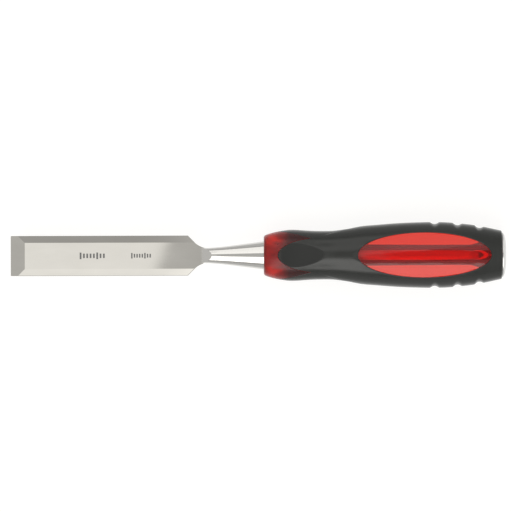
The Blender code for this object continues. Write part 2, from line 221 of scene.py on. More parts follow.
def settle(mesh, finishes, sharp):
    """Brings a mesh drawn in millimetres into the tool's place and dresses it."""
    name = mesh.name
    mesh.transform(Matrix.Translation((FACE_X, 0, AXIS_Z)) @ Matrix.Scale(MM, 4))
    for finish in finishes:
        mesh.materials.append(finish)
    mesh.shade_smooth()
    mesh.set_sharp_from_angle(angle=math.radians(sharp))
    obj = bpy.data.objects.new(name, mesh)
    bpy.context.scene.collection.objects.link(obj)
    return obj


def turned(outline, steps, start=0.0):
    """Rows of points round the axis from (place, radius) points."""
    angles = [start + TURN * k / steps for k in range(steps)]
    return [[(x, r * math.sin(a), r * math.cos(a)) for a in angles] for x, r in outline]


# ---------------------------------------------------------------- soft grip


def grip_outside(along, angle):
    """A point of the grip's outer surface, with its thumb rests, finger grooves and flats."""
    radius = handle_radius(along)
    if SIDE_REST[0][0] < along < SIDE_REST[-1][0]:
        # The side rest ends in a crease.
        from_side = abs((math.degrees(angle) % 180) - 90)
        inside = math.radians(smooth_value(SIDE_REST, along) - from_side) * radius
        crease = CREASE_SHARE * eased(inside, *CREASE_FALL) * eased(-inside, *CREASE_RISE)
        depth = eased(inside, *SIDE_REST_SLOPE) + crease
        radius -= SIDE_REST_DEPTH * eased(along, *SIDE_REST_FADE) * depth
    y, z = radius * math.sin(angle), radius * math.cos(angle)
    side_y, side_z = math.copysign(1, y), math.copysign(1, z)
    for place in GROOVES:
        away = abs(along - place)
        if away < GROOVE_RADIUS:
            swing = handle_radius(place) + GROOVE_RADIUS - GROOVE_DEPTH + GROOVE_SWING
            reach = math.hypot(abs(y) + GROOVE_SWING, z)
            turn = math.atan2(abs(z), abs(y) + GROOVE_SWING)
            over = reach - swing + math.sqrt(GROOVE_RADIUS**2 - away**2)
            over = (over + math.sqrt(over**2 + GROOVE_BLEND)) / 2 - GROOVE_LIFT
            over *= max(0, 1 - (away / GROOVE_RADIUS) ** GROOVE_POWER)
            if over > 0:
                y -= side_y * over * math.cos(turn)
                z -= side_z * over * math.sin(turn)
    level = THUMB_LEVEL + THUMB_RISE[0] * (along - THUMB_CENTRE) ** 2 + THUMB_RISE[1] * y**2
    if along < WINDOW_CENTRE - WINDOW_LENGTH:
        gap = abs(z) - level
        z = side_z * (abs(z) - (gap + math.sqrt(gap**2 + THUMB_BLEND)) / 2)
    z = max(-rest_level(along), min(rest_level(along), z))
    return along, y, z


def tongue_edge(angle):
    """Where the grip starts at an angle round the axis, and how steeply its edge runs there."""
    share = TURN / (2 * TONGUES)
    away = abs((angle + share) % (2 * share) - share) / share
    edge = TONGUE_TIP + (TONGUE_ROOT - TONGUE_TIP) * away**TONGUE_POWER
    slope = (TONGUE_ROOT - TONGUE_TIP) * TONGUE_POWER * away ** (TONGUE_POWER - 1) / share
    return edge, math.hypot(1, slope / handle_radius(edge))


def rounding(size, steps=4):
    """(how far back from an edge, how deep) over a quarter round, from the outside in."""
    for k in range(steps + 1):
        turn = math.pi / 2 * (1 - k / steps)
        yield size * (1 - math.cos(turn)), size * (1 - math.sin(turn))


def window_point(turn, out):
    """(along, across) of a window's edge at a turn from its front tip, moved outwards."""
    along, across = -WINDOW_LENGTH * math.cos(turn), WINDOW_WIDTH * math.sin(turn)
    normal = (along / WINDOW_LENGTH**2, across / WINDOW_WIDTH**2)
    size = math.hypot(*normal)
    return WINDOW_CENTRE + along + out * normal[0] / size, across + out * normal[1] / size


WINDOW_TURNS = [math.pi * k / WINDOW_STEPS for k in range(WINDOW_STEPS + 1)]


def window_ring(turns, out, level):
    """A closed ring round a window; level gives the height at (along, across)."""
    half = [window_point(turn, out) for turn in turns]
    ring = half + [(x, -y) for x, y in half[-2:0:-1]]
    return [(x, y, level(x, y)) for x, y in ring]


def wall_level(radius_less):
    """Makes a function that gives the height of a window's wall, so far below the outer radius."""
    def level(along, across):
        radius = handle_radius(along) - radius_less
        return min(REST_LEVEL, math.sqrt(max(0, radius**2 - across**2)))
    return level


def flipped(rows):
    """The same rows under the axis."""
    return [[(x, y, -z) for x, y, z in row] for row in rows]


def even(start, end, length):
    """Places from start up to, but not including, end, about a length apart."""
    count = max(1, round((end - start) / length))
    return [start + (end - start) * k / count for k in range(count)]


def barrel_rows(start, end, length, point):
    """Whole rings round the handle from start up to, but not including, end."""
    angles = [TURN * k / COLUMNS for k in range(COLUMNS)]
    return [[point(x, a) for a in angles] for x in even(start, end, length)]


def flank_rows(out, point, radius_less):
    """Rows between the two windows on one flank, from one window's edge to the other's."""
    half = COLUMNS // 2
    rows = []
    for turn in WINDOW_TURNS:
        along, across = window_point(turn, out)
        radius = handle_radius(along) - radius_less
        start = math.asin(min(1, max(0, across) / radius))
        angles = [start + (math.pi - 2 * start) * j / half for j in range(half + 1)]
        rows.append([point(along, a) for a in angles])
    return rows


def make_grip(rubber):
    """The soft grip, one sleeve with its front tongues and two windows."""
    shell = Shell()
    front = WINDOW_CENTRE - WINDOW_LENGTH
    rear = WINDOW_CENTRE + WINDOW_LENGTH
    angles = [TURN * k / COLUMNS for k in range(COLUMNS)]
    edges = [tongue_edge(a) for a in angles]

    def inside(along, angle):
        radius = handle_radius(min(along, HANDLE_CORNER)) - GRIP_WALL
        return along, radius * math.sin(angle), radius * math.cos(angle)

    def deep(along, angle, depth):
        x, y, z = grip_outside(along, angle)
        scale = 1 - depth / math.hypot(y, z)
        return x, y * scale, z * scale

    # Front edge: a quarter round, then the wall down to the inner surface.
    lip = [
        [deep(edge + back * steep, a, depth) for a, (edge, steep) in zip(angles, edges)]
        for back, depth in rounding(TIP_ROUND)
    ]
    lip.append([inside(edge, a) for a, (edge, _) in zip(angles, edges)])
    shell.strip(lip, closed=True)

    # Tongues, outside and inside, then the waist up to the windows.
    for surface, back in ((grip_outside, TIP_ROUND), (inside, 0)):
        starts = [edge + back * steep for edge, steep in edges]
        tongue = [
            [surface(s + (WAIST_START - s) * k / TONGUE_ROWS, a) for s, a in zip(starts, angles)]
            for k in range(TONGUE_ROWS)
        ]
        end = front - (GRIP_ROUND if back else 0)
        waist = barrel_rows(WAIST_START, end, WAIST_STEP, surface)
        waist.append([surface(end, a) for a in angles])
        shell.strip(tongue + waist, closed=True)

    # Flanks between the windows.
    for surface, out, less in ((grip_outside, GRIP_ROUND, 0), (inside, 0, GRIP_WALL)):
        rows = flank_rows(out, surface, less)
        shell.strip(rows)
        shell.strip([[(x, -y, z) for x, y, z in row] for row in rows])

    # Window edges.
    edge = [window_ring(WINDOW_TURNS, out, wall_level(depth)) for out, depth in rounding(GRIP_ROUND)]
    edge.append(window_ring(WINDOW_TURNS, 0, wall_level(GRIP_WALL)))
    for rows in (edge, flipped(edge)):
        shell.strip(rows, closed=True)

    # Rear end.
    tail = barrel_rows(rear + GRIP_ROUND, HANDLE_CORNER, TAIL_STEP, grip_outside)
    tail += [
        [grip_outside(HANDLE_CORNER + (GRIP_END - HANDLE_CORNER) * math.sin(t), a) for a in angles]
        for t in GRIP_END_TURNS
    ]
    tail.append([inside(GRIP_END, a) for a in angles])
    tail.append([inside(HANDLE_CORNER, a) for a in angles])
    tail += barrel_rows(rear, HANDLE_CORNER, TAIL_STEP, inside)[::-1]
    shell.strip(tail, closed=True)
    return shell.piece("grip", [rubber], sharp=50)


# ---------------------------------------------------------------- clear core


def make_core(clear, bonded):
    """The core: clear where it shows or faces steel, dark where the grip is bonded on to it."""
    shell = Shell()
    front = WINDOW_CENTRE - WINDOW_LENGTH
    rear = WINDOW_CENTRE + WINDOW_LENGTH
    less = GRIP_WALL + JOIN
    angles = [TURN * k / COLUMNS for k in range(COLUMNS)]
    edges = [tongue_edge(a) for a in angles]
    ends = [edge - JOIN * steep for edge, steep in edges]

    def outside(along, angle, depth=0.0):
        radius = handle_radius(along) - depth
        level = rest_level(along)
        return along, radius * math.sin(angle), max(-level, min(level, radius * math.cos(angle)))

    def under(along, angle):
        x, y, z = outside(min(along, HANDLE_CORNER), angle, less)
        return along, y, z

    # Front face with the seat for the neck, then the collar out to the grip's tongues.
    face = [BORE_MOUTH[0], (SEAT_DEPTH, SEAT_RADIUS), (SEAT_CORNER, SEAT_RADIUS)]
    face += [(0.0, SEAT_RADIUS + SEAT_CORNER)] + FRONT_ROUND
    shell.strip(turned(face, COLUMNS), closed=True)
    start = FRONT_ROUND[-1][0]
    collar = []
    for k in range(COLLAR_ROWS + 1):
        share = k / COLLAR_ROWS
        collar.append([outside(start + (e - start) * share, a) for e, a in zip(ends, angles)])
    shell.strip(collar, closed=True)
    wall = [[outside(e, a, depth) for e, a in zip(ends, angles)] for depth in WALL_DEPTHS]
    wall.append([under(e, a) for e, a in zip(ends, angles)])
    shell.strip(wall, closed=True, finish=1)

    # Under the grip.
    hidden = [
        [under(e + (WAIST_START - e) * k / HIDDEN_ROWS, a) for e, a in zip(ends, angles)]
        for k in range(HIDDEN_ROWS)
    ]
    end = front + JOIN
    hidden += barrel_rows(WAIST_START, end, HIDDEN_WAIST_STEP, under)
    hidden.append([under(end, a) for a in angles])
    shell.strip(hidden, closed=True, finish=1)
    rows = flank_rows(-JOIN, under, less)
    shell.strip(rows, finish=1)
    shell.strip([[(x, -y, z) for x, y, z in row] for row in rows], finish=1)
    tail = barrel_rows(rear - JOIN, GRIP_END, HIDDEN_TAIL_STEP, under)
    tail.append([under(GRIP_END, a) for a in angles])
    shell.strip(tail, closed=True, finish=1)

    # Window lands: the wall, a small round, and the crowned face.
    def crown(along, across):
        return CROWN_LEVEL + CROWN_RISE[0] * (along - CROWN_PLACE) ** 2 + CROWN_RISE[1] * across**2

    lower = []
    for share in LAND_SHARES:
        ring = []
        for x, y, z in window_ring(WINDOW_TURNS, -JOIN, wall_level(less)):
            top = crown(x, y) - LAND_ROUND
            ring.append((x, y, z + (top - z) * share))
        lower.append(ring)
    curl = [
        window_ring(WINDOW_TURNS, -JOIN - back, lambda x, y, d=depth: crown(x, y) - d)
        for back, depth in rounding(LAND_ROUND)
    ][::-1]
    top_face = []
    for turn in WINDOW_TURNS:
        x, half = window_point(turn, -JOIN - LAND_ROUND)
        half = max(0, half)
        across = [half * (2 * j / LAND_COLUMNS - 1) for j in range(LAND_COLUMNS + 1)]
        top_face.append([(x, y, crown(x, y)) for y in across])
    for turn_over in (lambda rows: rows, flipped):
        shell.strip(turn_over(lower), closed=True, finish=1)
        shell.strip(turn_over(curl), closed=True)
        shell.strip(turn_over(top_face))

    # Rear face, stem bore and tang bore.
    end_radius = handle_radius(HANDLE_CORNER) - less
    stem_hole = STEM_RADIUS + STEM_GAP
    back = [(GRIP_END, end_radius), (GRIP_END, REAR_RING), (GRIP_END, stem_hole)]
    back += [(x, r) for x, r in stem_outline(STEM_GAP)[::-1] if x > CAVITY_END]
    back += [(CAVITY_END, r) for r in (stem_hole, CAVITY_RING, CAVITY_CORNER[-1][1])]
    shell.strip(turned(back, COLUMNS), closed=True)
    bore_start, bore_radius = BORE_MOUTH[-1]
    bore = BORE_MOUTH + [
        (bore_start + BORE_LENGTH * k / BORE_STEPS, bore_radius - BORE_TAPER * k / BORE_STEPS)
        for k in range(1, BORE_STEPS + 1)
    ]
    bore += BORE_END + [(CAVITY_END + x, r) for x, r in CAVITY_CORNER]
    shell.strip(turned(bore, COLUMNS), closed=True)
    return shell.piece("core", [clear, bonded], sharp=40)


# ---------------------------------------------------------------- strike cap


def stem_outline(growth=0.0):
    """(place, radius) points of the strike cap's stem with its barbs."""
    outline = [(STEM_START - growth, STEM_TIP + growth)]
    for k in range(BARBS):
        place = STEM_START + STEM_LEAD + k * BARB_PITCH
        outline.append((place, STEM_RADIUS - BARB_DEPTH + growth))
        outline.append((place + BARB_PITCH - BARB_NECK, STEM_RADIUS + growth))
    return outline


def make_cap(steel):
    """The domed cap with its stem, turned as one."""
    shell = Shell()
    outline = [(STEM_START, 0)] + stem_outline() + [(CAP_UNDERSIDE, STEM_RADIUS)]
    outline += [(CAP_UNDERSIDE, CAP_RADIUS * k / 4) for k in (2, 3)]
    outline += [(CAP_UNDERSIDE, CAP_RADIUS - CAP_CHAMFER), (CAP_UNDERSIDE + CAP_CHAMFER, CAP_RADIUS)]
    outline += [(CAP_RIM - CAP_STEP, CAP_RADIUS)]
    for k in range(CAP_ROWS + 1):
        share = 1 - k / CAP_ROWS
        radius = CAP_FLAT + (CAP_RADIUS - CAP_STEP - CAP_FLAT) * share
        outline.append((CAP_TOP - (CAP_TOP - CAP_RIM) * share**CAP_POWER, radius))
    outline += [(CAP_TOP, CAP_FLAT * k / 4) for k in (3, 2, 1)] + [(CAP_TOP, 0)]
    shell.strip(turned(outline, CAP_COLUMNS), closed=True)
    return shell.piece("cap", [steel], sharp=28)


# ---------------------------------------------------------------- blade


def slice_off(bm, point, normal):
    """Cuts away what lies beyond a plane and closes the cut."""
    cut = bmesh.ops.bisect_plane(
        bm, geom=bm.verts[:] + bm.edges[:] + bm.faces[:], dist=1e-5,
        plane_co=point, plane_no=normal, clear_outer=True,
    )
    rim = [item for item in cut["geom_cut"] if isinstance(item, bmesh.types.BMEdge)]
    bmesh.ops.contextual_create(bm, geom=rim)


def blade_plate():
    """The plate, ground on its three faces and honed at the edge, with its corners just broken."""
    inner = HALF_WIDTH - EDGE_BEVEL
    outline = [(-BLADE_LENGTH, HALF_WIDTH), (SHOULDER, HALF_WIDTH)]
    centre_x = SHOULDER + EDGE_BEVEL + SHOULDER_FILLET * math.sin(math.pi / 4)
    centre_y = inner + SHOULDER_FILLET * math.cos(math.pi / 4)
    for k in range(FILLET_STEPS + 1):
        angle = math.pi / 4 * (1 - k / FILLET_STEPS)
        outline.append((
            centre_x - SHOULDER_FILLET * math.sin(angle), centre_y - SHOULDER_FILLET * math.cos(angle),
        ))
    outline.append(PLATE_ROOT)
    bm = bmesh.new()
    outline += [(x, -y) for x, y in reversed(outline)]
    face = bm.faces.new([bm.verts.new((x, y, BLADE_BACK)) for x, y in outline])
    raised = bmesh.ops.extrude_face_region(bm, geom=[face])
    top = [item for item in raised["geom"] if isinstance(item, bmesh.types.BMVert)]
    bmesh.ops.translate(bm, verts=top, vec=(0, 0, BLADE_TOP - BLADE_BACK))
    grind = (-math.sin(GRIND_ANGLE), 0, math.cos(GRIND_ANGLE))
    slice_off(bm, (-BLADE_LENGTH, 0, BLADE_BACK), grind)
    honed = (
        -BLADE_LENGTH + HONED_WIDTH * math.cos(GRIND_ANGLE), 0,
        BLADE_BACK + HONED_WIDTH * math.sin(GRIND_ANGLE),
    )
    slice_off(bm, honed, (-math.sin(HONED_ANGLE), 0, math.cos(HONED_ANGLE)))
    fall = BLADE_TOP - BLADE_BACK - EDGE_LAND
    for side in (-1, 1):
        slice_off(bm, (0, side * inner, BLADE_TOP), (0, side * fall, EDGE_BEVEL))
    bmesh.ops.recalc_face_normals(bm, faces=bm.faces)
    # Every corner is broken but the cutting edge and what the neck covers.
    honed_end, past_side, covered, least_turn = 1.5, 0.1, 0.5, math.radians(15)
    edges = []
    for edge in bm.edges:
        middle = (edge.verts[0].co + edge.verts[1].co) / 2
        cutting = middle.x < -BLADE_LENGTH + honed_end and abs(middle.y) < HALF_WIDTH - past_side
        in_sight = middle.x < PLATE_ROOT[0] - covered
        if edge.calc_face_angle(0) > least_turn and not cutting and in_sight:
            edges.append(edge)
    upright, looks_up = 0.1, 0.5
    outer_edges = [
        e for e in edges if any(abs(f.normal.z) < upright for f in e.link_faces)
        and any(f.normal.z > looks_up for f in e.link_faces)
    ]
    for some, width in ((outer_edges, TOP_CORNER), (edges, BROKEN_CORNER)):
        bmesh.ops.bevel(
            bm, geom=[e for e in some if e.is_valid], offset=width, offset_type="WIDTH", segments=2,
            profile=0.5, affect="EDGES", clamp_overlap=True,
        )
    return bm


def neck_cone():
    """The turned neck, sliced where it ramps down to the plate's two faces."""
    first, last = NECK_PROFILE[0][0], NECK_PROFILE[-1][0]
    outline = [(NECK_ROOT, 0), (NECK_ROOT, NECK_PROFILE[0][1])]
    places = [first + (last - first) * k / NECK_ROWS for k in range(NECK_ROWS + 1)]
    outline += [(x, smooth_value(NECK_PROFILE, x)) for x in places]
    outline.append((last, 0))
    shell = Shell()
    shell.strip(turned(outline, NECK_COLUMNS, start=TURN / (2 * NECK_COLUMNS)), closed=True)
    bm = shell.bar()
    for start, level, up in ((TOP_RAMP, BLADE_TOP, 1), (BACK_RAMP, BLADE_BACK, -1)):
        slice_off(bm, (start, 0, level), (-math.sin(RAMP_SLOPE), 0, up * math.cos(RAMP_SLOPE)))
    return bm


def tang_bar():
    """The tapered tang, from the neck to its rounded tip."""
    shell = Shell()
    rows = []
    for (x0, w0, h0), (x1, w1, h1) in zip(TANG_SECTIONS, TANG_SECTIONS[1:]):
        for k in range(TANG_ROWS):
            t = k / TANG_ROWS
            rows.append(tang_section(x0 + (x1 - x0) * t, w0 + (w1 - w0) * t, h0 + (h1 - h0) * t))
    rows.append(tang_section(*TANG_SECTIONS[-1]))
    ends = [[(row[0][0], 0, 0)] * len(row) for row in (rows[0], rows[-1])]
    shell.strip([ends[0]] + rows + [ends[1]], closed=True)
    return shell.bar()


def tang_section(along, width, height):
    """A forged bar's section: a rectangle with rounded corners."""
    y, z = width / 2, height / 2
    corner = width * TANG_CORNER
    ring = []
    for quarter in range(4):
        cy = (y - corner) * (1 if quarter in (0, 3) else -1)
        cz = (z - corner) * (1 if quarter in (0, 1) else -1)
        for k in range(CORNER_STEPS + 1):
            turn = math.pi / 2 * (quarter + k / CORNER_STEPS)
            ring.append((along, cy + corner * math.cos(turn), cz + corner * math.sin(turn)))
    return ring


def make_blade(steel):
    """Plate, neck and tang forged as one."""
    parts = []
    for name, bm in (("plate", blade_plate()), ("neck", neck_cone()), ("tang", tang_bar())):
        bmesh.ops.recalc_face_normals(bm, faces=bm.faces)
        mesh = bpy.data.meshes.new(name)
        bm.to_mesh(mesh)
        bm.free()
        obj = bpy.data.objects.new(name, mesh)
        bpy.context.scene.collection.objects.link(obj)
        parts.append(obj)
    whole = parts[0]
    for other in parts[1:]:
        union = whole.modifiers.new(other.name, "BOOLEAN")
        union.operation = "UNION"
        union.solver = "EXACT"
        union.object = other
    bpy.context.view_layer.update()
    mesh = bpy.data.meshes.new_from_object(whole.evaluated_get(bpy.context.evaluated_depsgraph_get()))
    for obj in parts:
        bpy.data.objects.remove(obj)
    mesh.name = "chisel_blade"
    return settle(mesh, [steel], 6)


# ---------------------------------------------------------------- finishes


class Value:
    """A shader socket that can stand in arithmetic."""

    def __init__(self, finish, socket):
        self.finish, self.socket = finish, socket

    def sum(self, operation, *values):
        return self.finish.node("ShaderNodeMath", {"operation": operation}, dict(enumerate(values)))

    def __add__(self, other):
        return self.sum("ADD", self, other)

    def __radd__(self, other):
        return self.sum("ADD", other, self)

    def __sub__(self, other):
        return self.sum("SUBTRACT", self, other)

    def __rsub__(self, other):
        return self.sum("SUBTRACT", other, self)

    def __mul__(self, other):
        return self.sum("MULTIPLY", self, other)

    def __rmul__(self, other):
        return self.sum("MULTIPLY", other, self)

    def __truediv__(self, other):
        return self.sum("DIVIDE", self, other)

    def __pow__(self, other):
        return self.sum("POWER", self, other)

    def __abs__(self):
        return self.sum("ABSOLUTE", self)

    def __lt__(self, other):
        return self.sum("LESS_THAN", self, other)

    def __gt__(self, other):
        return self.sum("GREATER_THAN", self, other)


class Nodes:
    """Ways of making nodes in a tree."""

    def connect(self, target, value):
        if isinstance(value, Value):
            self.tree.links.new(value.socket, target)
        else:
            target.default_value = value

    def node(self, kind, settings=None, inputs=None, output=0):
        made = self.tree.nodes.new(kind)
        for name, value in (settings or {}).items():
            if name == "stops":
                ramp = made.color_ramp
                while len(ramp.elements) < len(value):
                    ramp.elements.new(0.5)
                for element, (place, colour) in zip(ramp.elements, value):
                    element.position, element.color = place, colour
            else:
                setattr(made, name, value)
        for socket, value in (inputs or {}).items():
            self.connect(made.inputs[socket], value)
        return Value(self, made.outputs[output])

    def ease(self, value, low, high, to_low=0.0, to_high=1.0):
        inputs = {0: value, 1: low, 2: high, 3: to_low, 4: to_high}
        return self.node("ShaderNodeMapRange", {"interpolation_type": "SMOOTHSTEP"}, inputs)

    def blend(self, factor, first, second):
        """Mixes two colours."""
        inputs = {"Factor": factor, 6: first, 7: second}
        return self.node("ShaderNodeMix", {"data_type": "RGBA"}, inputs, output=2)


class Finish(Nodes):
    """A material made node by node round one Principled shader."""

    def __init__(self, name, **constants):
        self.material = bpy.data.materials.new(name)
        self.material.use_nodes = True
        self.tree = self.material.node_tree
        self.tree.nodes.clear()
        self.shader = self.tree.nodes.new("ShaderNodeBsdfPrincipled")
        out = self.tree.nodes.new("ShaderNodeOutputMaterial")
        self.tree.links.new(self.shader.outputs[0], out.inputs["Surface"])
        for socket, value in constants.items():
            self.set(socket.replace("_", " "), value)

    def set(self, socket, value):
        self.connect(self.shader.inputs[socket], value)

    def place(self):
        """Millimetres along the handle, across, and up from the axis, and the three together."""
        coords = self.node("ShaderNodeTexCoord", output="Object")
        shifted = self.node(
            "ShaderNodeVectorMath", {"operation": "SUBTRACT"}, {0: coords, 1: (FACE_X, 0, AXIS_Z)}
        )
        scaled = self.node(
            "ShaderNodeVectorMath", {"operation": "MULTIPLY"}, {0: shifted, 1: (1 / MM,) * 3}
        )
        parts = [self.node("ShaderNodeSeparateXYZ", inputs={0: scaled}, output=k) for k in range(3)]
        return (*parts, scaled)

    def stretched(self, vector, scale):
        return self.node("ShaderNodeVectorMath", {"operation": "MULTIPLY"}, {0: vector, 1: scale})

    def noise(self, vector, scale=1.0, detail=3.0, roughness=0.5):
        inputs = {"Vector": vector, "Scale": scale, "Detail": detail, "Roughness": roughness}
        return self.node("ShaderNodeTexNoise", inputs=inputs)

    def bump(self, height, depth, strength=1.0, under=None):
        inputs = {"Height": height, "Distance": depth * MM, "Strength": strength}
        if under:
            inputs["Normal"] = under
        return self.node("ShaderNodeBump", inputs=inputs)

    def edge_mask(self, low, high):
        """1 on outer edges and corners, 0 elsewhere."""
        return self.ease(self.node("ShaderNodeNewGeometry", output="Pointiness"), low, high)


def colour(red, green, blue):
    return (red, green, blue, 1.0)


# The two tones that each finish varies between, and the single tones of its details.
GROUND_STEEL = colour(0.58, 0.565, 0.53), colour(0.66, 0.645, 0.61)
POLISHED_STEEL = colour(0.66, 0.65, 0.63), colour(0.72, 0.71, 0.69)
TANG_STEEL, INK = colour(0.95, 0.93, 0.9), colour(0.02, 0.019, 0.018)
TURNED_STEEL = colour(0.62, 0.62, 0.605), colour(0.7, 0.7, 0.685)
CLEAR_RED = colour(0.86, 0.026, 0.011), colour(0.92, 0.034, 0.013)
COLLAR_RED, VALLEY_SHADE_RED = colour(0.74, 0.021, 0.011), colour(0.1, 0.004, 0.005)
JOINT_RED = colour(0.3, 0.012, 0.012), colour(0.38, 0.018, 0.018)
JOINT_PAINTED_GLOW = colour(0.75, 0.05, 0.03), colour(0.9, 0.07, 0.045)
NO_GLOW = colour(0.0, 0.0, 0.0)
SOFT_BLACK = colour(0.015, 0.0165, 0.0145), colour(0.021, 0.0225, 0.0205)
EDGE_HIGHLIGHT_BLACK, REST_BLACK = colour(0.09, 0.092, 0.09), colour(0.006, 0.007, 0.006)
TABLE_GREY = colour(0.2, 0.2, 0.2), colour(0.22, 0.22, 0.22)
TABLE_SEEN, TABLE_THROUGH = colour(0.86, 0.853, 0.843), colour(0.76, 0.753, 0.743)
TABLE_REFLECTED = colour(0.36, 0.36, 0.355), colour(0.85, 0.85, 0.84)  # far from the tool, near it

# Where the finishes change along the handle and the blade.
GROUND_ENDS = (-34.0, -36.5)  # between the polished neck and the ground plate
SCALE_STARTS = (0.6, 1.2)  # the tang keeps its forging scale
# Between the grip's tongues the core's red is darkened as painted shade.
COLLAR_ENDS, VALLEY_SHADE_STARTS = (30.0, 26.0), (9.0, 15.0)
SHADE_STARTS, SHADE_ENDS = (11.0, 19.0), (40.0, 34.0)  # the painted shade on the joint between the tongues
EDGE_HIGHLIGHT_ENDS = (34.0, 30.0)
REST_BAND, REST_START, REST_END = (0.055, 0.03), 8.0, 40.0
EDGE_HIGHLIGHT_FROM = (0.53, 0.6)  # how far an edge stands out where its painted highlight starts

# How fine each pattern is along, across and up.
CLOUD, RIPPLE = (0.05, 0.16, 0.16), (0.06, 0.16, 0.16)
CROSS_MARKS, TURNED_MARKS, GRIT = (9.0, 0.25, 0.25), (7.0, 0.05, 0.05), (2.2, 2.2, 2.2)


def blade_finish():
    """Ground plate with fine cross marks, polished neck, dark printed scale ticks."""
    f = Finish("ground_steel", Metallic=1.0, IOR=2.5)
    along, across, up, place = f.place()
    on_plate = f.ease(along, *GROUND_ENDS)
    cloud = f.noise(f.stretched(place, CLOUD), detail=4)
    fine = f.noise(f.stretched(place, CROSS_MARKS), detail=2)
    grit = f.noise(f.stretched(place, GRIT), detail=3)
    turned_marks = f.noise(f.stretched(place, TURNED_MARKS), detail=2)
    scaled = f.ease(along, *SCALE_STARTS)
    tone = f.blend(on_plate, f.blend(turned_marks, *POLISHED_STEEL), f.blend(cloud, *GROUND_STEEL))
    tone = f.blend(scaled, tone, TANG_STEEL)
    # Two short rows of ticks in the middle of the face.
    on_face = (up > BLADE_TOP - FACE_DEPTH) * (along < TOP_RAMP)
    ticks = 0.0
    for start, end, pitch, tall in TICK_ROWS:
        within = (along > start) * (along < end)
        cell = (along - start) / pitch
        number = cell.sum("FLOOR", cell)
        bar = abs(cell - number - 0.5) < TICK_HALF
        longer = number.sum("MODULO", number, LONG_EVERY) < 0.5
        height = tall * SHORT_TICK + longer * (tall * (1 - SHORT_TICK))
        ticks = ticks + within * bar * (abs(across) < height)
    ticks = ticks * on_face
    faded = ticks * f.ease(grit, 0.25, 0.45, 0.93, 1.0)
    f.set("Base Color", f.blend(faded, tone, INK))
    plate_rough = 0.01 + cloud * 0.01 + grit * 0.005
    neck_rough = 0.06 + turned_marks * 0.06
    rough = neck_rough + (plate_rough - neck_rough) * on_plate + scaled * 0.42
    f.set("Roughness", rough + faded * 0.35)
    f.set("Metallic", 1 - faded)
    marks = fine * on_plate * 0.05 + turned_marks * (1 - on_plate) * 0.8
    f.set("Normal", f.bump(marks, 0.004, 0.5))
    return f.material


def cap_finish():
    """Turned steel: fine rings and a few dents from the mallet."""
    f = Finish("turned_steel", Metallic=1.0)
    _, across, up, place = f.place()
    from_axis = (across * across + up * up) ** 0.5
    rings = f.node(
        "ShaderNodeTexNoise", {"noise_dimensions": "1D"}, {"W": from_axis * 5.0, "Detail": 3.0}
    )
    dents = f.noise(place, 0.35, detail=4)
    f.set("Base Color", f.blend(dents, *TURNED_STEEL))
    f.set("Roughness", 0.2 + rings * 0.12 + dents * 0.08)
    under = f.bump(dents, 0.12, 0.3)
    f.set("Normal", f.bump(rings, 0.02, 0.6, under))
    return f.material


def clear_finish():
    """Clear red moulding: gloss with slight flow ripples and hazier spots, painted shade between the
    tongues.
    """
    f = Finish("clear_red_core", Transmission_Weight=1.0, IOR=1.49)
    along, _, _, place = f.place()
    ripple = f.noise(f.stretched(place, RIPPLE), detail=2)
    haze = f.noise(place, 0.4, detail=4)
    collar = f.ease(along, *COLLAR_ENDS)
    valley_shade = f.ease(along, *VALLEY_SHADE_STARTS) * collar
    tone = f.blend(collar, f.blend(ripple, *CLEAR_RED), COLLAR_RED)
    # Painted shade: the red is darkened in the valleys between the grip's tongues.
    f.set("Base Color", f.blend(valley_shade, tone, VALLEY_SHADE_RED))
    f.set("Roughness", 0.03 + f.ease(haze, 0.5, 0.8) * 0.05 + collar * (0.22 + haze * 0.08))
    f.set("Normal", f.bump(ripple, 0.35, 0.25))
    return f.material


def bonded_finish():
    """The dark side of the joint between core and grip, seen from inside the core, lit by a painted
    glow.
    """
    f = Finish("bonded_joint", Emission_Strength=0.115)
    along, _, _, place = f.place()
    blotch = f.noise(place, 0.3, detail=3)
    f.set("Base Color", f.blend(blotch, *JOINT_RED))
    # Painted light: the glow stands for the light that the clear core carries to the joint, and is
    # dimmed between the tongues as painted shade.
    shade_between_tongues = f.ease(along, *SHADE_STARTS) * f.ease(along, *SHADE_ENDS)
    f.set("Emission Color", f.blend(shade_between_tongues * 0.65, f.blend(blotch, *JOINT_PAINTED_GLOW), NO_GLOW))
    f.set("Roughness", 0.5 + blotch * 0.2)
    f.set("Normal", f.bump(blotch, 0.05, 0.3))
    return f.material


def grip_finish():
    """Soft black moulding: fine grain, matter in the thumb rests, a painted highlight on its edges."""
    f = Finish("soft_black_grip", IOR=1.5)
    along, across, up, place = f.place()
    grain = f.noise(place, 4.5, detail=3, roughness=0.6)
    handling = f.noise(place, 0.12, detail=4)
    level = THUMB_LEVEL + (along - THUMB_CENTRE) ** 2 * THUMB_RISE[0] + across * across * THUMB_RISE[1]
    on_level = f.ease(abs(abs(up) - level), *REST_BAND)
    in_rest = on_level * (along > REST_START) * (along < REST_END)
    # Painted highlight: outer edges are lightened, most on the front tongues.
    edge = f.edge_mask(*EDGE_HIGHLIGHT_FROM)
    edge_highlight = edge * (0.3 + f.ease(along, *EDGE_HIGHLIGHT_ENDS) * 0.5)
    tone = f.blend(edge_highlight, f.blend(handling, *SOFT_BLACK), EDGE_HIGHLIGHT_BLACK)
    f.set("Base Color", f.blend(in_rest * 0.8, tone, REST_BLACK))
    f.set("Roughness", 0.2 + handling * 0.08 + in_rest * 0.3 - edge * 0.05)
    f.set("Normal", f.bump(grain, 0.03, 0.35))
    return f.material


# ---------------------------------------------------------------- the tool

pieces = [
    (make_blade(blade_finish()), "blade", "blade_steel"),
    (make_core(clear_finish(), bonded_finish()), "handle_core", "clear_red"),
    (make_grip(grip_finish()), "soft_grip", "soft_black"),
    (make_cap(cap_finish()), "strike_cap", "cap_steel"),
]
for piece, node, slot in pieces:
    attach(piece, "root")
    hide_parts(node)

# ---------------------------------------------------------------- studio

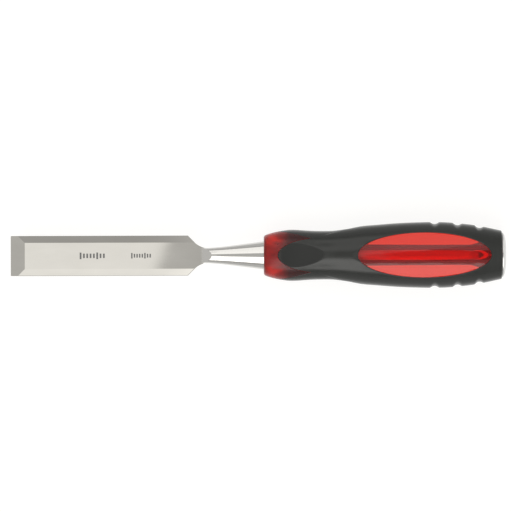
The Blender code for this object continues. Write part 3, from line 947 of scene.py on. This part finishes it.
TABLE_SIZE = 3.0  # metres from its middle to a side
LIT_MIDDLE, LIT_HALF, LIT_FADE = 0.04, 0.18, (0.05, 0.02)  # metres, where reflections see it bright
LENS, SENSOR, CAMERA_REACH = 405, 36, 20
CAMERA_HEIGHT = 3.2952  # metres over the tool's axis
CAMERA_OFFSET, CAMERA_TURN = (-0.00114, -0.00034), -0.0027

# The lights stand by direction: the tilt is in degrees over from straight up, towards the far side,
# and the place along the tool is that part of the direction.
OVERHEAD, ABOVE, GAP = (-16, 19), (-40, 40, 25), (-8, 8)
FAR_SIDE, FAR_GAP, FAR_RIM = (19, 78), (41, 59), (8, 19)
NEAR_SIDE, NEAR_GAP, NEAR_RIM = (-70, -15.5), (-59, -41), (-15.5, -10)
SIDES_ALONG, GAPS_ALONG, ABOVE_GRIP = (-0.42, 0.16), (-0.138, 0.0), (0.0, 0.16)
OVERHEAD_ALONG, OVERHEAD_SLANT, OVERHEAD_SOFT = (-0.15, -0.0163), 0.39, 0.0014
LIFT_ALONG, BLADE_END, HANDLE_END = (-0.15, -0.001), (-0.45, -0.6), (0.3, 0.5)
TILT_SOFT, ALONG_SOFT = 1.5, 0.02  # how softly a panel ends, each way
GENERAL_LIGHT = 0.47
LIGHT_TINT, BACKGROUND_SEEN = colour(1.0, 0.99, 0.965), colour(0.9, 0.9, 0.895)


def floor_finish():
    """A lit white table: bright to look at and through clear parts, dimmer in reflections."""
    f = Finish("lit_table", Roughness=0.9)
    coords = f.node("ShaderNodeTexCoord", output="Object")
    tone = f.noise(coords, 3.0, detail=2)
    f.set("Base Color", f.blend(tone, *TABLE_GREY))
    direct = f.node("ShaderNodeLightPath", output="Is Camera Ray")
    through = f.node("ShaderNodeLightPath", output="Is Transmission Ray")
    along, across = [
        f.node("ShaderNodeSeparateXYZ", inputs={0: coords}, output=k) for k in range(2)
    ]
    beyond = abs(along - LIT_MIDDLE) - LIT_HALF
    beyond = beyond.sum("MAXIMUM", beyond, 0.0)
    away = (beyond * beyond + across * across) ** 0.5
    reflected = f.blend(f.ease(away, *LIT_FADE), *TABLE_REFLECTED)
    seen = f.blend(direct, TABLE_THROUGH, TABLE_SEEN)
    f.set("Emission Color", f.blend(direct.sum("MAXIMUM", direct, through), reflected, seen))
    f.set("Emission Strength", 1.0)
    return f.material


corners = [(x * TABLE_SIZE, y * TABLE_SIZE, 0) for x, y in ((-1, -1), (1, -1), (1, 1), (-1, 1))]
floor_mesh = bpy.data.meshes.new("table")
floor_mesh.from_pydata(corners, [], [(0, 1, 2, 3)])
floor_mesh.materials.append(floor_finish())
floor = bpy.data.objects.new("table", floor_mesh)
bpy.context.scene.collection.objects.link(floor)


class Studio(Nodes):
    """A soft studio drawn by direction: panels to both sides and overhead, a dark gap straight up."""

    def __init__(self):
        self.world = bpy.data.worlds.new("studio")
        self.world.use_nodes = True
        self.tree = self.world.node_tree
        coords = self.node("ShaderNodeTexCoord", output="Generated")
        along, across, up = [
            self.node("ShaderNodeSeparateXYZ", inputs={0: coords}, output=k) for k in range(3)
        ]
        self.along, self.across = along, across
        self.tilt = across.sum("ARCTAN2", across, up) * (180 / math.pi)

    def span(self, value, low, high, soft):
        """1 between low and high, with soft ends."""
        rising = self.ease(value, low - soft, low + soft)
        return rising * self.ease(value, high + soft, high - soft)

    def panel(self, tilt, along):
        """1 inside a soft-edged panel that fills these two ranges."""
        return self.span(self.tilt, *tilt, TILT_SOFT) * self.span(self.along, *along, ALONG_SOFT)


studio = Studio()
slanted = studio.along - studio.across * OVERHEAD_SLANT
overhead = studio.span(studio.tilt, *OVERHEAD, 1.0)
overhead = overhead * studio.span(slanted, *OVERHEAD_ALONG, OVERHEAD_SOFT)
far_gap = studio.panel(FAR_GAP, GAPS_ALONG)
near_gap = studio.panel(NEAR_GAP, GAPS_ALONG)
# Each light's shape and how much it adds. The gap straight up takes some away.
lights = [
    (studio.span(studio.tilt, *ABOVE), 0.1),
    (studio.panel(GAP, ABOVE_GRIP), -0.27),
    (studio.ease(studio.along, *BLADE_END), 0.08),
    (overhead, 0.46),
    (studio.panel(OVERHEAD, LIFT_ALONG), 0.12),
    (studio.ease(studio.along, *HANDLE_END), 0.15),
    (studio.panel(FAR_SIDE, SIDES_ALONG) - far_gap, 0.8),
    (studio.panel(NEAR_SIDE, SIDES_ALONG) - near_gap * 0.67, 2.2),
    (studio.panel(FAR_RIM, ABOVE_GRIP), 0.4),
    (studio.panel(NEAR_RIM, ABOVE_GRIP), 0.2),
]
light = GENERAL_LIGHT
for shape, strength in lights:
    light = light + shape * strength
seen = studio.node("ShaderNodeLightPath", output="Is Camera Ray")
tint = studio.blend(seen, LIGHT_TINT, BACKGROUND_SEEN)
background = studio.tree.nodes["Background"]
studio.connect(background.inputs["Color"], tint)
studio.connect(background.inputs["Strength"], light + seen * (1.0 - light))
bpy.context.scene.world = studio.world

camera = bpy.data.cameras.new("camera")
camera.lens, camera.sensor_width, camera.clip_end = LENS, SENSOR, CAMERA_REACH
view = bpy.data.objects.new("camera", camera)
view.location = (*CAMERA_OFFSET, AXIS_Z + CAMERA_HEIGHT)
view.rotation_euler = (0, 0, CAMERA_TURN)
bpy.context.scene.collection.objects.link(view)
bpy.context.scene.camera = view
bpy.context.scene.view_settings.view_transform = "Standard"

bpy.context.view_layer.update()
